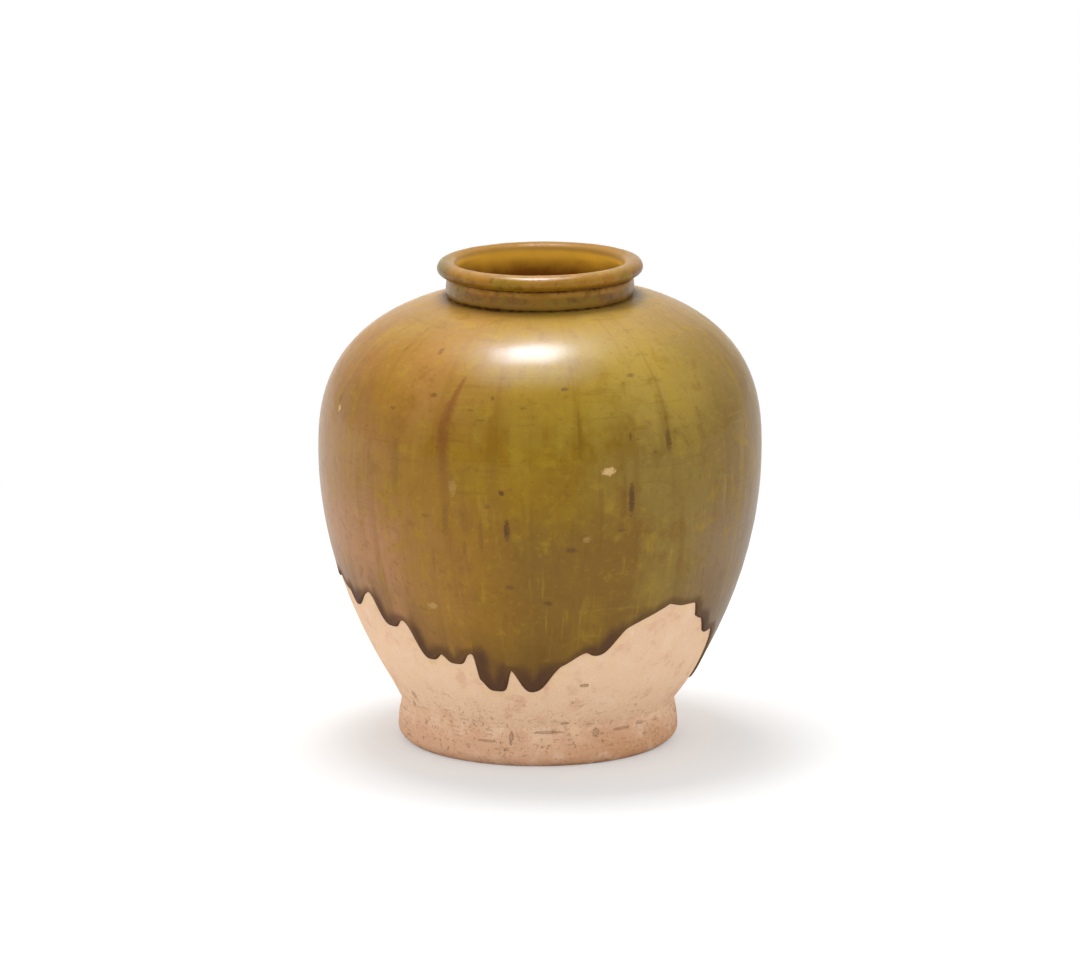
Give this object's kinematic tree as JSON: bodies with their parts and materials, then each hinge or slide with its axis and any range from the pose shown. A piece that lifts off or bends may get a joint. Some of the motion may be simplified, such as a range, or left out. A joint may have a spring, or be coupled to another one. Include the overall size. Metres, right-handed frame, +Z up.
{
  "type": "jar",
  "caption": "Round-shouldered storage jar with a rolled lip, a short ringed neck, a flared foot and an amber glaze that runs down in drips over bare clay.",
  "frame": {"origin": "centre of the flat underside, on the surface that the jar stands on", "axes": "+Z up along the jar's axis, -Y towards the side seen in the picture, +X to that viewer's right"},
  "size_m": [0.2004, 0.2004, 0.2201],
  "materials": {
    "foot_clay": "matte",
    "body_clay": "matte",
    "luting_slip": "matte",
    "amber_glaze": "gloss",
    "ochre_glaze": "gloss"
  },
  "bodies": {
    "root": {"foot_base": "foot_clay", "lower_body": "body_clay", "upper_body": "body_clay", "neck_ring": "body_clay", "rolled_lip": "body_clay", "base_joint_slip": "luting_slip", "belly_joint_slip": "luting_slip", "neck_joint_slip": "luting_slip", "outer_glaze": "amber_glaze", "mouth_glaze": "ochre_glaze"}
  },
  "joints": []
}
